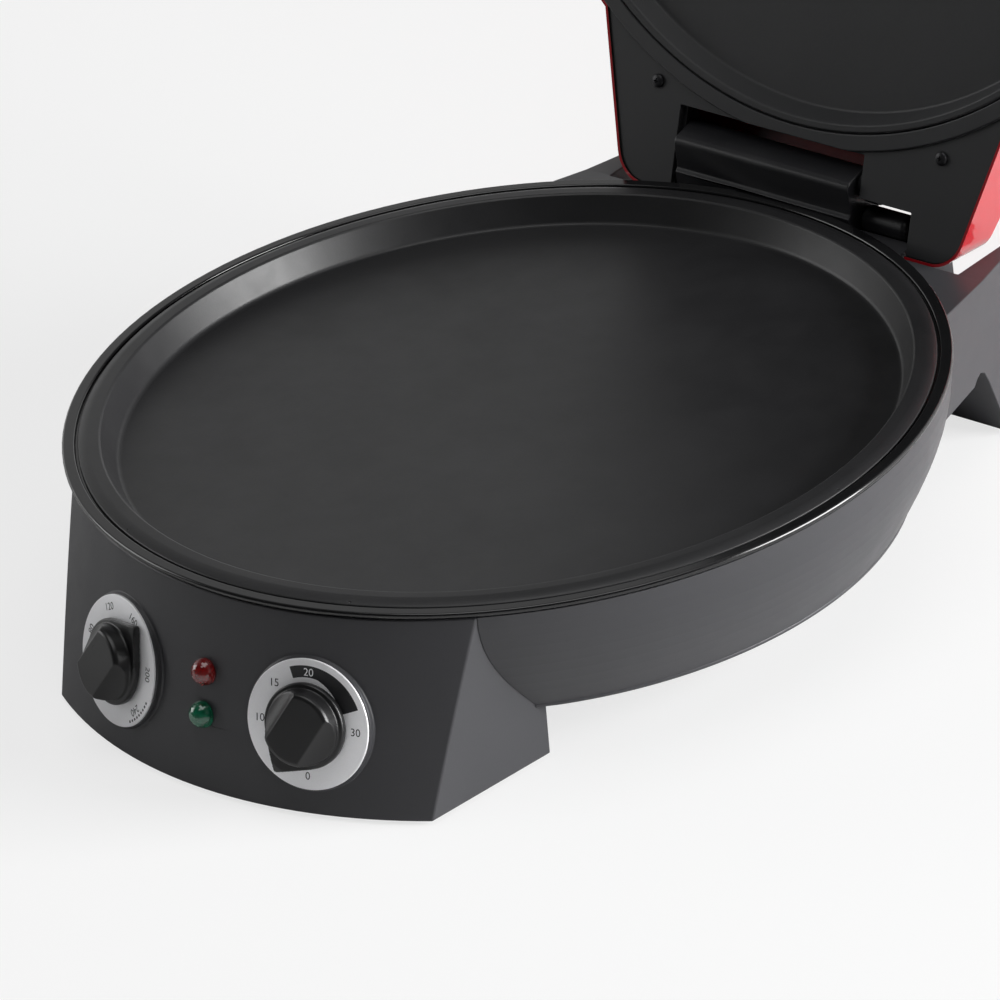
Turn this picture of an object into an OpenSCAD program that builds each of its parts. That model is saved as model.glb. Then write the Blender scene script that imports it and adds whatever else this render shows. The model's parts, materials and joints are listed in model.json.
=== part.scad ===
// Round countertop cooker with two non-stick plates, a hinged lid and two dials.
// Millimetres, +Z up, front towards -Y. The counter is z = 0. The lid is drawn open, as it stands at rest.

/* [Lower plate] */
// Radius of the flat floor of the lower plate
plate_r = 150; // [142:1:158]
// Depth of the lower plate below its rim
plate_depth = 11; // [8:0.5:13]
// Thickness of the cast plates
plate_t = 3; // [2.6:0.1:3.4]
// Radial run of the sloping side of the lower plate
plate_slope = 5; // [4.5:0.5:7]
// Width of the plate's rim, crest and outer fall together
rim_w = 9; // [8:0.5:11]
// Width of the flat crest of the rim
crest_w = 3.5; // [2.5:0.5:4]
// Height of the rim's crest above the trim ring
rim_rise = 1.3; // [0.8:0.1:1.5]

/* [Body] */
// Height of the top of the painted band above the counter
body_h = 75; // [70:1:82]
// Height of the lower edge of the band above the counter
band_z = 24; // [20:1:27]
// How much smaller the band's radius is at its lower edge
band_taper = 20; // [14:1:22]
// Wall thickness of the casings
wall = 2.2; // [1.8:0.1:2.6]
// Width of the trim ring's ledge outside the groove
ledge_w = 5; // [4.5:0.5:7]
// Height of the trim ring above the band
trim_h = 3; // [2.6:0.1:4]
// Height of the rubber feet below the casings
foot_h = 1.5; // [1:0.1:2]
// Radius of the rubber feet
foot_r = 9; // [7:0.5:11]

/* [Control box] */
// How far the front panel leans out from its top to the counter
panel_flare = 21; // [16:1:24]
// Half width of the box at its front lower corner
box_half_w = 93.6; // [88:0.4:98]
// Distance of that corner in front of the pan's axis
box_corner_y = 166.5; // [162:0.5:170]
// Distance of the back of the box in front of the pan's axis
box_back_y = 105; // [100:1:110]
// Angle by which each side of the box splays out towards the back
box_toe = 6; // [4:0.5:8]
// Angle by which each side of the box leans out towards the top
box_lean = 3.5; // [2:0.25:5]

/* [Dials] */
// Angle of each dial from the middle of the panel
dial_angle = 15.2; // [13:0.2:17]
// Height of the dials above the counter
dial_z = 35; // [33:0.5:38]
// Radius of the silver dial rings
dial_r = 25; // [24:0.5:27]
// Radius of the skirt of the knobs
knob_r = 16.4; // [15:0.2:17]
// Height of the knobs
knob_h = 9.5; // [8:0.5:12]
// Reach of the pointed tip from the knob's axis
knob_tip = 23; // [21:0.5:24]
// Radius of the dial shafts
shaft_r = 3; // [2.6:0.1:3.4]
// Clockwise angle of the temperature pointer from the top, at rest
temperature_rest = 35; // [0:1:60]
// Clockwise angle of the timer pointer from the top, at rest
timer_rest = 213; // [190:1:230]
// Height of the middle between the pilot lenses above the counter
lens_z = 37.4; // [35:0.2:39]
// Radius of the pilot lenses
lens_r = 5.2; // [4:0.1:5.6]
// Distance between the two pilot lenses
lens_pitch = 16.6; // [14:0.2:19]

/* [Rear housing] */
// Half width of the rear housing where it leaves the band
wing_half_w = 109; // [106:1:111]
// How much each wing draws in for each millimetre to the rear
wing_draw = 0.25; // [0.22:0.01:0.27]
// Distance of the rear wall behind the hinge axis
tail_back = 35; // [33:1:41]
// Drop of the deck below the top of the band at the hinge
deck_drop = 4; // [3:0.5:5]
// Height of the arch under each wing
arch_z = 33; // [29:1:36]
// Height of the housing's floor between the two rear legs
rear_floor_z = 8; // [6:0.5:9]
// Width of each rear leg
leg_w = 30; // [27:1:34]

/* [Hinge] */
// Distance of the hinge axis behind the trim ring
hinge_back = 11; // [10.6:0.2:12]
// Height of the hinge axis above the top of the band
hinge_rise = 13.7; // [13.2:0.1:14.4]
// Radius of the hinge barrel
barrel_r = 6.2; // [6:0.1:6.8]
// Radius of the hinge pin
pin_r = 3; // [2.5:0.1:3.2]
// Width of each lid lug
lug_t = 6; // [5:0.5:7]
// Angle by which the lid stands open
open_angle = 111; // [104:1:112]

/* [Lid] */
// Height of the lid shell from its mouth to its crown
lid_h = 50; // [46:1:58]
// Depth of the upper plate behind its rim
upper_depth = 8; // [7:0.5:9]
// Gap between the closed lid's frame and the trim ring
lid_gap = 2; // [1.7:0.1:2.4]
// Reach of the lid's tail behind the hinge axis
tail_reach = 22; // [20:0.5:22.5]
// Half width of the tail at its rear edge
tail_half_w = 83; // [80:0.5:84]
// Height of the tail's roof above the lid's mouth at its rear edge
tail_h = 23; // [20:1:26]
// Width of the handle
handle_w = 130; // [110:1:150]
// Reach of the handle in front of the lid
handle_reach = 34; // [30:1:42]
// Thickness of the handle's grip
grip_t = 15; // [13:0.5:17]

/* [Hidden] */

$fn = 96;
// Clearance between the fixed pieces of one body
fit = 0.15;
// Running clearance of the hinge pin and the dial shafts
running = 0.06;
// Depth by which a cut passes through the face it opens
over = 1;
// Clearance hole and thread radius for the small screws
screw_r = 1.4;
screw_hole_r = screw_r + 0.3;
thread_r = screw_r + 0.12;
screw_head_r = 2.8;
screw_head_h = 1.8;
head_bore_r = screw_head_r + 0.4;

// The lower plate's rim and the trim ring
crest_r = plate_r + plate_slope;
rim_r = crest_r + rim_w;
groove_w = 1;
ring_r = rim_r + groove_w + ledge_w;
trim_z = body_h + trim_h;
crest_z = trim_z + rim_rise;
seat_z = body_h + 1.4;
seat_r = crest_r + plate_t + 0.5;
floor_z = crest_z - plate_depth;
plate_back_z = floor_z - plate_t;
rim_screw_r = (seat_r + rim_r) / 2;
rim_screw_angles = [0, 60, 120, 180, 250, 290];

// The painted band
band_top_r = ring_r - 1;
band_low_r = band_top_r - band_taper;
band_steps = 10;
function band_r(z) = band_low_r + band_taper * sin(90 * (z - band_z) / (body_h - band_z));
band_levels = [for (i = [0:band_steps]) band_z + (body_h - band_z) * i / band_steps];
flange_w = 10;
bead_r = 1.3;
cover_t = 1.2;
cover_screw_r = band_low_r - 6;
cover_angles = [20, 70, 110, 160, 200, 340];

// The front panel is a cone about the pan's axis
panel_tilt = atan(panel_flare / body_h);
function panel_r(z) = band_top_r + panel_flare * (1 - z / body_h);
dial_boss_h = 1.2;
dial_t = 0.8;
dial_hole_r = 9.2;
bush_r = shaft_r + 2;
knob_gap = 0.6;
knob_base_z = dial_boss_h + dial_t + knob_gap;
knob_skirt_h = 3;
thermostat_size = [26, 32, 20];
clock_size = [36, 32, 24];
lens_stem_r = lens_r - 1.1;
box_floor_t = 2;
box_floor_z = foot_h + 0.7;
post_r = 4.5;
post_rows = [116, 148];
function post_x(y) = box_half_w + tan(box_toe) * (box_corner_y - y) - wall - screw_head_r - 0.5;
front_foot = [70, -130];

// The rear housing
wing_y = sqrt(pow(band_top_r, 2) - pow(wing_half_w, 2));
function wing_x(y) = wing_half_w - wing_draw * (y - wing_y);
wing_corner = 20;
hinge_y = ring_r + hinge_back;
hinge_z = body_h + hinge_rise;
tail_y = hinge_y + tail_back;
deck_z = body_h - deck_drop;
deck_front_z = body_h - 1.6;
well_front_y = hinge_y - 17.4;
well_front_z = hinge_z - 26.7;
well_fall = 31.5;
well_half_w = tail_half_w + 5;
deck_tilt = atan((deck_front_z - deck_z) / (well_front_y - wing_y));
tail_slope_w = 22.5;
tail_fall = 52;
plinth_half_w = 58;
plinth_back_y = hinge_y + 15;
leg_x = wing_x(tail_y - wing_corner) - leg_w;
arch_back_y = wing_y + 43;
rear_foot = [leg_x + leg_w / 2, tail_y - 26];
housing_screw_angle = 54;
housing_screw_levels = [body_h - 29, body_h - 10];
gland_r = 5;
gland_at = [-40, rear_floor_z + 10.5];
access = [104, 26];
access_y = tail_y - 36;
terminal_size = [34, 14, 13];
terminal_at = [-30, access_y + 6];

// The hinge, with its ends across the cooker
barrel_x = [-57, 31];
spacer_r = 5.4;
spacer_w = 2.4;
side_gap = 0.3;
left_lug_x = [barrel_x[0] - side_gap - lug_t, barrel_x[0] - side_gap];
right_lug_x = [barrel_x[1] + spacer_w + 2 * side_gap, barrel_x[1] + spacer_w + 2 * side_gap + lug_t];
pin_head_t = 2;
clip_groove_r = pin_r - 0.8;
conduit_r = 5.5;
conduit_x = [barrel_x[1] + side_gap, 55];
conduit_at = [hinge_y - 1, deck_z + 2.8];
block_screw_x = [-44, 18];
lug_r = 7;
lug_foot_t = 3;
lug_foot = [23, 7.8];
lug_foot_y = hinge_y - 14;
left_foot_x = left_lug_x[1] - lug_foot[0];
right_foot_x = right_lug_x[0];
lug_screw_y = lug_foot_y + lug_foot[1] / 2;
lug_screw_x = [left_foot_x + 5, left_foot_x + 12, right_foot_x + 11, right_foot_x + 18];

// The lid as it lies closed
lid_z = trim_z + lid_gap;
lid_r = ring_r + 1;
panel_z = lid_z + 1.5;
panel_top_z = panel_z + 2.6;
seat_flange = [panel_top_z - 0.9, panel_top_z + 1.3];
upper_rim_r = rim_r;
upper_crest_r = upper_rim_r - 3.3;
upper_slope = 3.7;
upper_back_z = lid_z + upper_depth + plate_t;
lip = 1.3;
shell_z = lid_z + 0.8;
draft = 13;
crown_z = shell_z + lid_h;
crown_sag = 4;
crown_round = 20;
lid_tail_y = hinge_y + tail_reach;
tail_draw = 0.28;
tail_corner = 14;
notch_x = [barrel_x[0] - 2, barrel_x[1] + 3];
notch_y = hinge_y - 12.2;
conduit_notch = [plinth_half_w + 2, hinge_y + 5];
lid_post = [tail_half_w - 11.5, hinge_y - 19];
tray_t = 1;
tray_h = 15;
tray_post_r = 135;
tray_post_angles = [45, 135, 225, 315];
tray_rim_angles = [0, 45, 135, 180, 225, 270, 315];
tray_screw_r = lid_r - 5.8;
handle_z = shell_z + 17;
grip_h = 18;
handle_angle = asin(handle_w / 2 / (lid_r + handle_reach));
handle_arm_w = 16;
arm_angle = handle_angle - 3;

// The heating elements and what holds them
tube_r = 3.4;
element_r = plate_r * 0.7;
element_gap = 14;
cold_pin_angle = element_gap + 2.5;
cold_pin_r = tube_r - 0.6;
clip_w = 12;
clip_t = 1.5;
clip_h = 2 * tube_r + 0.3;
clip_reach = 12;
clip_angles = [90, 210, 330];
reflector_h = 17;

// The pan's axis lies in front of the origin, which is under the middle of the open cooker
front_reach = panel_r(0) + 4;
rear_reach = hinge_y - (hinge_y + lid_r + handle_reach) * cos(open_angle)
    + (handle_z + grip_h / 2 - hinge_z) * sin(open_angle);
pan_back = (rear_reach - front_reach) / 2;

module on_axis() {
    translate([0, -pan_back, 0]) children();
}

// Turns a piece drawn on the closed lid to where the open lid holds it
module on_lid() {
    on_axis() translate([0, hinge_y, hinge_z]) rotate([-open_angle, 0, 0])
        translate([0, -hinge_y, -hinge_z]) children();
}

// Places a piece on the front panel, with its own +Z pointing straight out of the panel
module on_panel(angle, z) {
    rotate([0, 0, angle]) translate([0, -panel_r(z), z]) rotate([90 - panel_tilt, 0, 0]) children();
}

module on_dial(angle) {
    on_axis() on_panel(angle, dial_z) children();
}

function lens_height(step) = lens_z + step * lens_pitch * cos(panel_tilt) / 2;

module on_lens(step) {
    on_axis() on_panel(0, lens_height(step)) children();
}

// A round bar along X between the two ends in x
module bar(x, r) {
    translate([x[0], 0, 0]) rotate([0, 90, 0]) cylinder(r = r, h = x[1] - x[0]);
}

// A screw with its head's seat at the origin and its point towards +Z
module screw(length) {
    translate([0, 0, -screw_head_h])
        cylinder(r1 = screw_head_r - 0.5, r2 = screw_head_r, h = screw_head_h, $fn = 32);
    cylinder(r = screw_r, h = length, $fn = 24);
}

// A slab seen from the side, drawn in Y and Z and as wide as from x[0] to x[1]
module across(x) {
    rotate([90, 0, 90]) translate([0, 0, x[0]]) linear_extrude(x[1] - x[0]) children();
}

function arc(x, y, r, from, to, steps) = [for (i = [0:steps])
    let (angle = from + (to - from) * i / steps) [x + r * cos(angle), y + r * sin(angle)]];

// Outline of a tail with drawn-in sides and round rear corners, seen from above
module tail_plan(half_w, back_y, draw, corner, front_y, grow) {
    slant = atan(draw);
    centre_x = half_w + draw * corner - corner / cos(slant);
    r = max(corner + grow, 0.5);
    front_x = half_w + draw * (back_y - front_y) + grow / cos(slant);
    right_side = concat([[front_x, front_y]], arc(centre_x, back_y - corner, r, slant, 90, 8));
    left_side = [for (i = [len(right_side) - 1:-1:0]) [-right_side[i][0], right_side[i][1]]];
    polygon(concat(right_side, left_side));
}

// The casing below the plates

// Everything between the two sides of the control box, drawn in by inset
module between_sides(inset) {
    intersection_for (side = [0, 1]) mirror([side, 0, 0])
        translate([box_half_w - inset, -box_corner_y, 0]) rotate([0, box_lean, -box_toe])
            translate([-400, -200, -60]) cube([400, 300, 240]);
}

module box_solid(inset, low, high) {
    intersection() {
        rotate_extrude() polygon([
            [0, low], [panel_r(low) - inset, low], [panel_r(high) - inset, high], [0, high]]);
        between_sides(inset);
        translate([-200, -250, low]) cube([400, 250 - box_back_y - inset, high - low]);
    }
}

module body_band() {
    inner_levels = [for (z = band_levels) if (z > band_z + wall && z < body_h - wall) z];
    color("#3c3d40") on_axis() difference() {
        rotate_extrude() {
            polygon(concat(
                [for (z = band_levels) [band_r(z), z]],
                [[seat_r, body_h], [seat_r, body_h - wall], [band_r(body_h - wall) - wall, body_h - wall]],
                [for (i = [len(inner_levels) - 1:-1:0]) [band_r(inner_levels[i]) - wall, inner_levels[i]]],
                [[band_low_r - wall, band_z + wall], [band_low_r - flange_w, band_z + wall],
                 [band_low_r - flange_w, band_z]]));
            translate([band_low_r - 0.3, band_z + 0.9]) circle(r = bead_r, $fn = 24);
        }
        intersection() {
            translate([-150, -220, 0]) cube([300, 160, body_h + over]);
            between_sides(-2 * fit);
        }
        for (angle = cover_angles) rotate([0, 0, angle]) translate([cover_screw_r, 0, band_z - over])
            cylinder(r = thread_r, h = wall + 2 * over, $fn = 24);
        rim_holes(screw_hole_r);
        for (side = [0, 1], z = housing_screw_levels) mirror([side, 0, 0])
            rotate([0, 0, housing_screw_angle]) translate([0, 0, z]) rotate([0, 90, 0]) {
                cylinder(r = screw_hole_r, h = band_top_r + over, $fn = 24);
                cylinder(r = head_bore_r, h = head_seat_r(z), $fn = 32);
            }
    }
}
// The head's seat leaves a third of the wall below it, where the band draws in
function head_seat_r(z) = min(band_r(z + head_bore_r) - wall, band_r(z - head_bore_r) - wall / 3);

module rim_holes(r) {
    low = body_h - wall - over;
    for (angle = rim_screw_angles) rotate([0, 0, angle]) translate([rim_screw_r, 0, low])
        cylinder(r = r, h = seat_z + 1.8 - low, $fn = 24);
}

module trim_ring() {
    neck_r = band_top_r - 0.6;
    color("#0c0c0d") on_axis() difference() {
        rotate_extrude() polygon([
            [seat_r, body_h], [neck_r, body_h], [neck_r, body_h + 0.8], [ring_r - 0.4, body_h + 0.8],
            [ring_r, body_h + 1.4], [ring_r, trim_z - 0.9], [ring_r - 0.3, trim_z - 0.3],
            [ring_r - 0.9, trim_z],
            [rim_r + groove_w + 0.5, trim_z], [rim_r + groove_w, trim_z - 0.5], [rim_r + groove_w, seat_z],
            [seat_r, seat_z]]);
        rim_holes(screw_hole_r);
    }
}

module control_box() {
    color("#38393c") on_axis() difference() {
        union() {
            box_solid(0, foot_h, body_h);
            intersection() {
                for (side = [-1, 1]) on_panel(side * dial_angle, dial_z) translate([0, 0, -3])
                    cylinder(r = dial_r + 0.6, h = 3 + dial_boss_h);
                between_sides(0);
            }
        }
        difference() {
            box_solid(wall, foot_h - over, body_h - wall);
            for (side = [-1, 1], y = post_rows) translate([side * post_x(y), -y, box_floor_z + box_floor_t])
                cylinder(r = post_r, h = band_z - box_floor_z, $fn = 32);
        }
        rotate_extrude() polygon(concat(
            [[0, band_z + wall], [band_r(band_z + wall) - wall - 5, band_z + wall]],
            [for (z = band_levels) if (z > band_z + wall && z < body_h - wall)
                [min(band_r(z) - wall - 5, seat_r), z]],
            [[seat_r, body_h - wall], [seat_r, body_h + over], [0, body_h + over]]));
        for (side = [-1, 1]) on_panel(side * dial_angle, dial_z)
            translate([0, 0, -wall - 3]) cylinder(r = bush_r + fit, h = wall + 10, $fn = 48);
        for (step = [-1, 1]) on_panel(0, lens_height(step))
            translate([0, 0, -wall - 3]) cylinder(r = lens_stem_r + fit, h = wall + 10, $fn = 48);
        for (side = [-1, 1], y = post_rows) translate([side * post_x(y), -y, 0])
            cylinder(r = thread_r, h = band_z - 4, $fn = 24);
        rim_holes(screw_hole_r);
    }
}

module control_box_cover() {
    color("#141415") on_axis() difference() {
        box_solid(wall + 0.3, box_floor_z, box_floor_z + box_floor_t);
        for (side = [-1, 1], y = post_rows) translate([side * post_x(y), -y, 0])
            cylinder(r = screw_hole_r, h = band_z, $fn = 24);
        for (side = [-1, 1]) translate([side * front_foot[0], front_foot[1], 0])
            cylinder(r = 2.7, h = band_z, $fn = 32);
        for (side = [-1, 1], row = [0:5]) translate([side * 35 - 24, -122 - 7 * row, 0])
            cube([48, 3, band_z]);
    }
}

module wing_plan(grow) {
    tail_plan(wing_x(tail_y), tail_y, wing_draw, wing_corner, 60, grow);
}

// The hollow behind the deck in which the lid's tail swings, grown on every side by grow
module well(grow) {
    floor_drop = grow / cos(well_fall);
    back_y = tail_y + 40;
    difference() {
        intersection() {
            across([-well_half_w - grow, well_half_w + grow]) polygon([
                [well_front_y - grow, well_front_z - floor_drop + grow * tan(well_fall)],
                [back_y, well_front_z - floor_drop - (back_y - well_front_y) * tan(well_fall)],
                [back_y, body_h + 40], [well_front_y - grow, body_h + 40]]);
            linear_extrude(body_h + 40) polygon([
                [wing_x(100) - wall - 0.5 + grow, 100], [wing_x(back_y) - wall - 0.5 + grow, back_y],
                [-wing_x(back_y) + wall + 0.5 - grow, back_y], [-wing_x(100) + wall + 0.5 - grow, 100]]);
        }
        translate([-plinth_half_w + grow, well_front_y - 20, 0])
            cube([2 * (plinth_half_w - grow), plinth_back_y - well_front_y + 20 - grow, deck_z - grow]);
    }
}

// The space under the wings in front of the rear legs
module under_arch(grow) {
    across([-wing_half_w - 20, wing_half_w + 20]) polygon([
        [40, -5], [40, arch_z + grow], [wing_y + 19, arch_z + grow], [wing_y + 22, arch_z + 2.2 + grow],
        [wing_y + 25 + grow / 2, arch_z + 3 + grow], [wing_y + 28 + grow, arch_z + 1.4 + grow],
        [wing_y + 31 + grow, arch_z - 4], [wing_y + 38 + grow, arch_z * 0.35], [arch_back_y + grow, -5]]);
}

// Everything above the deck and behind the slope at its rear, lowered by drop
module above_deck(drop) {
    across([-200, 200]) polygon([
        [0, deck_front_z + wing_y * tan(deck_tilt) - drop], [well_front_y, deck_z - drop],
        [tail_y + 60, deck_z - drop], [tail_y + 60, body_h + 60], [0, body_h + 60]]);
    translate([0, tail_y - tail_slope_w, deck_z - drop / cos(tail_fall)]) rotate([-tail_fall, 0, 0])
        translate([-200, 0, 0]) cube([400, 100, 60]);
}

module round_body(gap) {
    rotate_extrude() polygon(concat(
        [[0, -10], [band_low_r + gap + 1.2, -10], [band_low_r + gap + 1.2, band_z]],
        [for (z = band_levels) [band_r(z) + gap, z]],
        [[band_top_r + gap, body_h + 20], [0, body_h + 20]]));
}

module housing_bores(r, from, to) {
    for (side = [0, 1], z = housing_screw_levels) mirror([side, 0, 0]) rotate([0, 0, housing_screw_angle])
        translate([from, 0, z]) rotate([0, 90, 0]) cylinder(r = r, h = to - from, $fn = 32);
}

module rear_housing() {
    color("#3a3b3e") on_axis() difference() {
        translate([0, 0, foot_h]) linear_extrude(body_h) wing_plan(0);
        difference() {
            translate([0, 0, foot_h + wall]) linear_extrude(body_h) wing_plan(-wall);
            well(wall);
            under_arch(wall);
            above_deck(wall);
            translate([-leg_x - wall, 0, 0]) cube([2 * (leg_x + wall), 300, rear_floor_z + wall]);
            housing_bores(post_r, band_low_r, band_top_r + 20);
        }
        translate([-leg_x, 0, -over]) cube([2 * leg_x, 300, rear_floor_z + over]);
        well(0);
        under_arch(0);
        above_deck(0);
        round_body(2 * fit);
        housing_bores(thread_r, band_low_r, band_top_r + 8);
        translate([gland_at[0], tail_y - 20, gland_at[1]]) rotate([-90, 0, 0])
            cylinder(r = gland_r + fit, h = 40, $fn = 48);
        translate([-access[0] / 2, access_y, 0]) cube([access[0], access[1], rear_floor_z + wall + over]);
        rear_cover_holes(thread_r);
        for (side = [-1, 1]) translate([side * rear_foot[0], rear_foot[1], 0])
            cylinder(r = 2.7, h = 10, $fn = 32);
        for (x = block_screw_x) translate([x, hinge_y, deck_z - wall - over])
            cylinder(r = screw_hole_r, h = 10, $fn = 24);
        translate([0, conduit_at[0], conduit_at[1]])
            bar([conduit_x[0] - 1, conduit_x[1] + 10], conduit_r + fit);
    }
}

module rear_cover_holes(r) {
    for (side = [-1, 1], y = [access_y - 3, access_y + access[1] + 3])
        translate([side * (access[0] / 2 - 6), y, 0])
            cylinder(r = r, h = rear_floor_z + wall + 2 * over, $fn = 24);
}

module rear_cover() {
    rim = 6;
    color("#141415") on_axis() difference() {
        translate([-access[0] / 2 - rim, access_y - rim, rear_floor_z - cover_t])
            cube([access[0] + 2 * rim, access[1] + 2 * rim, cover_t]);
        rear_cover_holes(screw_hole_r);
        for (x = [-40:10:40]) translate([x - 1.5, access_y + 5, 0])
            cube([3, access[1] - 10, rear_floor_z + over]);
    }
}

module bottom_cover() {
    color("#141415") on_axis() difference() {
        translate([0, 0, band_z - cover_t]) cylinder(r = band_low_r - wall - 0.3, h = cover_t);
        translate([-200, -250, 0]) cube([400, 250 - box_back_y + 0.3, body_h]);
        for (radius = [50, 80, 110], angle = [0:30:330]) rotate([0, 0, angle + radius])
            translate([radius, -2, 0])
            cube([14, 4, body_h]);
        for (angle = cover_angles) rotate([0, 0, angle]) translate([cover_screw_r, 0, 0])
            cylinder(r = screw_hole_r, h = body_h, $fn = 24);
    }
}

module foot(seat_z) {
    cylinder(r1 = foot_r - 0.8, r2 = foot_r, h = seat_z);
    cylinder(r = 2.5, h = seat_z + 6, $fn = 32);
}

module front_feet() {
    color("#1b1b1c") on_axis() for (side = [-1, 1])
        translate([side * front_foot[0], front_foot[1], 0]) foot(box_floor_z);
}

module rear_feet() {
    color("#1b1b1c") on_axis() for (side = [-1, 1])
        translate([side * rear_foot[0], rear_foot[1], 0]) foot(foot_h);
}

module rim_screws() {
    color("silver") on_axis() for (angle = rim_screw_angles) rotate([0, 0, angle])
        translate([rim_screw_r, 0, body_h - wall]) screw(seat_z + 1.5 - body_h + wall);
}

module cover_screws() {
    color("silver") on_axis() {
        for (angle = cover_angles) rotate([0, 0, angle])
            translate([cover_screw_r, 0, band_z - cover_t]) screw(cover_t + wall + 1);
        for (side = [-1, 1], y = post_rows) translate([side * post_x(y), -y, box_floor_z]) screw(12);
        for (side = [-1, 1], y = [access_y - 3, access_y + access[1] + 3])
            translate([side * (access[0] / 2 - 6), y, rear_floor_z - cover_t]) screw(cover_t + wall + 1);
    }
}

module housing_screws() {
    color("silver") on_axis() for (side = [0, 1], z = housing_screw_levels) mirror([side, 0, 0])
        rotate([0, 0, housing_screw_angle]) translate([head_seat_r(z), 0, z]) rotate([0, 90, 0])
            screw(band_top_r + 6 - head_seat_r(z));
}

// The plates and their heaters. Each heater is drawn on a plate whose back is z = 0, with +Z away from it.

module plate_bosses(centre_h, centre_r, centre_angles) {
    difference() {
        union() {
            for (angle = clip_angles, step = [-1, 1]) rotate([0, 0, angle])
                translate([element_r + step * clip_reach, 0, -0.5])
                    cylinder(r = 4.2, h = clip_h + 0.5, $fn = 32);
            for (angle = centre_angles) rotate([0, 0, angle])
                translate([centre_r, 0, -0.5]) cylinder(r = post_r, h = centre_h + 0.5, $fn = 32);
        }
        for (angle = clip_angles, step = [-1, 1]) rotate([0, 0, angle])
            translate([element_r + step * clip_reach, 0, 0.5]) cylinder(r = thread_r, h = clip_h, $fn = 24);
        for (angle = centre_angles) rotate([0, 0, angle])
            translate([centre_r, 0, centre_h - 9]) cylinder(r = thread_r, h = 10, $fn = 24);
    }
}

module heater_tube() {
    translate([0, 0, tube_r + 0.1]) {
        rotate([0, 0, 270 + element_gap]) rotate_extrude(angle = 360 - 2 * element_gap)
            translate([element_r, 0]) circle(r = tube_r, $fn = 32);
        for (side = [-1, 1]) rotate([0, 0, 270 + side * cold_pin_angle]) translate([element_r, 0, 0]) {
            cylinder(r = cold_pin_r, h = reflector_h + 3 - tube_r, $fn = 32);
            cylinder(r = 1.2, h = reflector_h + 8 - tube_r, $fn = 24);
        }
    }
}

module heater_clips() {
    for (angle = clip_angles) rotate([0, 0, angle]) difference() {
        translate([element_r - clip_reach - 5, -clip_w / 2, clip_h])
            cube([2 * clip_reach + 10, clip_w, clip_t]);
        for (step = [-1, 1]) translate([element_r + step * clip_reach, 0, 0])
            cylinder(r = screw_hole_r, h = 20, $fn = 24);
    }
}

module heater_screws() {
    for (angle = clip_angles, step = [-1, 1]) rotate([0, 0, angle])
        translate([element_r + step * clip_reach, 0, clip_h + clip_t]) mirror([0, 0, 1])
            screw(clip_t + clip_h - 1.5);
}

module pin_holes() {
    for (side = [-1, 1]) rotate([0, 0, 270 + side * cold_pin_angle])
        translate([element_r, 0, 0]) cylinder(r = cold_pin_r + 1, h = 60, $fn = 32);
}

module lower_side() {
    on_axis() translate([0, 0, plate_back_z]) mirror([0, 0, 1]) children();
}

module upper_side() {
    on_lid() translate([0, 0, upper_back_z]) rotate([0, 0, 180]) children();
}

module lower_plate() {
    color("#151516") {
        on_axis() difference() {
            rotate_extrude() polygon([
                [0, plate_back_z], [plate_r - 1 + plate_t / 2, plate_back_z], [seat_r - fit * 2, seat_z],
                [rim_r, seat_z],
                [rim_r, trim_z - 0.6], [rim_r - 0.5, trim_z - 0.2], [crest_r + 1 + crest_w, crest_z],
                [crest_r + 0.8, crest_z], [crest_r, crest_z - 0.5], [plate_r + 0.6, floor_z + 1.4],
                [plate_r - 0.4, floor_z + 0.4], [plate_r - 1.8, floor_z], [0, floor_z]]);
            for (angle = rim_screw_angles) rotate([0, 0, angle]) translate([rim_screw_r, 0, seat_z - over])
                cylinder(r = thread_r, h = over + 1.7, $fn = 24);
        }
        lower_side() plate_bosses(reflector_h, 0, [0]);
    }
}

module lower_element() {
    color("#6b6a66") lower_side() heater_tube();
}

module lower_clips() {
    color("#9a9a9a") lower_side() heater_clips();
}

module lower_plate_screws() {
    color("silver") lower_side() {
        heater_screws();
        translate([0, 0, reflector_h + tray_t]) mirror([0, 0, 1]) screw(8);
    }
}

module lower_reflector() {
    rim = plate_r - 6;
    color("#b9b9b6") lower_side() difference() {
        rotate_extrude() polygon([
            [0, reflector_h], [rim - 16, reflector_h], [rim - 8, 0], [rim, 0], [rim, tray_t],
            [rim - 7.2, tray_t],
            [rim - 15.2, reflector_h + tray_t], [0, reflector_h + tray_t]]);
        pin_holes();
        cylinder(r = screw_hole_r, h = 60, $fn = 24);
    }
}

// The controls

module dial() {
    translate([0, 0, dial_boss_h]) difference() {
        cylinder(r = dial_r, h = dial_t);
        translate([0, 0, -over]) cylinder(r = dial_hole_r, h = dial_t + 2 * over);
    }
}

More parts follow.
